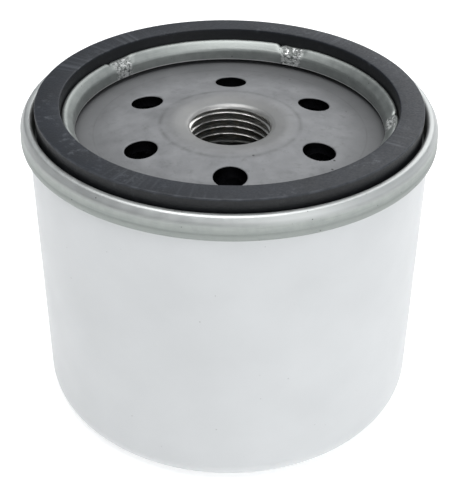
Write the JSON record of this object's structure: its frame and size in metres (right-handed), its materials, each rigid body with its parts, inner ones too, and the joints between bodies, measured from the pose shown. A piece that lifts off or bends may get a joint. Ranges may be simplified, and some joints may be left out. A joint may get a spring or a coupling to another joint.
{
  "type": "oil filter",
  "caption": "Spin-on engine oil filter with a seamed sheet steel can, a threaded base plate with inlet holes, a square-cut gasket and a sprung element inside.",
  "frame": {"origin": "middle of the closed end, on the surface that it stands on", "axes": "+Z along the thread's axis, from the closed end to the gasket; +Y points at one of the inlet holes"},
  "size_m": [0.0766, 0.0766, 0.0625],
  "materials": {
    "can_paint": "white enamel, satin",
    "plated_lid": "zinc plated sheet steel, satin",
    "sealing_compound": "set sealing compound",
    "gasket_rubber": "moulded nitrile rubber, matte",
    "plate_steel": "pressed steel, matte grey, cut thread",
    "valve_rubber": "moulded nitrile rubber",
    "cap_tinplate": "tinplate",
    "potting_adhesive": "set plastisol",
    "tube_steel": "perforated tinplate",
    "filter_paper": "resin treated filter paper",
    "clip_steel": "tinplate",
    "poppet_plastic": "moulded glass filled nylon",
    "cage_steel": "zinc plated pressing",
    "spring_wire": "oiled spring steel wire"
  },
  "bodies": {
    "can": {"outer_can": "can_paint", "seaming_lid": "plated_lid", "seam_compound": "sealing_compound", "sealing_gasket": "gasket_rubber", "base_plate": "plate_steel", "drainback_valve_hub": "valve_rubber", "element_support_spring": "spring_wire"},
    "drainback_flap": {"drainback_valve_flap": "valve_rubber"},
    "element": {"upper_end_cap": "cap_tinplate", "lower_end_cap": "cap_tinplate", "upper_potting": "potting_adhesive", "lower_potting": "potting_adhesive", "centre_tube": "tube_steel", "filter_paper": "filter_paper", "pleat_clip": "clip_steel", "bypass_valve_seal": "valve_rubber", "bypass_valve_cage": "cage_steel", "bypass_valve_spring": "spring_wire"},
    "bypass_poppet": {"bypass_valve_poppet": "poppet_plastic"}
  },
  "joints": [
    {"name": "drainback_opening", "type": "slide", "parent": "can", "child": "drainback_flap", "axis": [0, 0, -1], "range_m": [0, 0.0012], "stiffness_N_per_m": 300, "springref_m": -0.001},
    {"name": "element_give", "type": "slide", "parent": "can", "child": "element", "axis": [0, 0, -1], "range_m": [0, 0.0015], "stiffness_N_per_m": 8000, "springref_m": -0.006, "deforming": ["element_support_spring"]},
    {"name": "bypass_opening", "type": "slide", "parent": "element", "child": "bypass_poppet", "axis": [0, 0, 1], "range_m": [0, 0.0025], "stiffness_N_per_m": 1500, "springref_m": -0.006, "deforming": ["bypass_valve_spring"]}
  ]
}
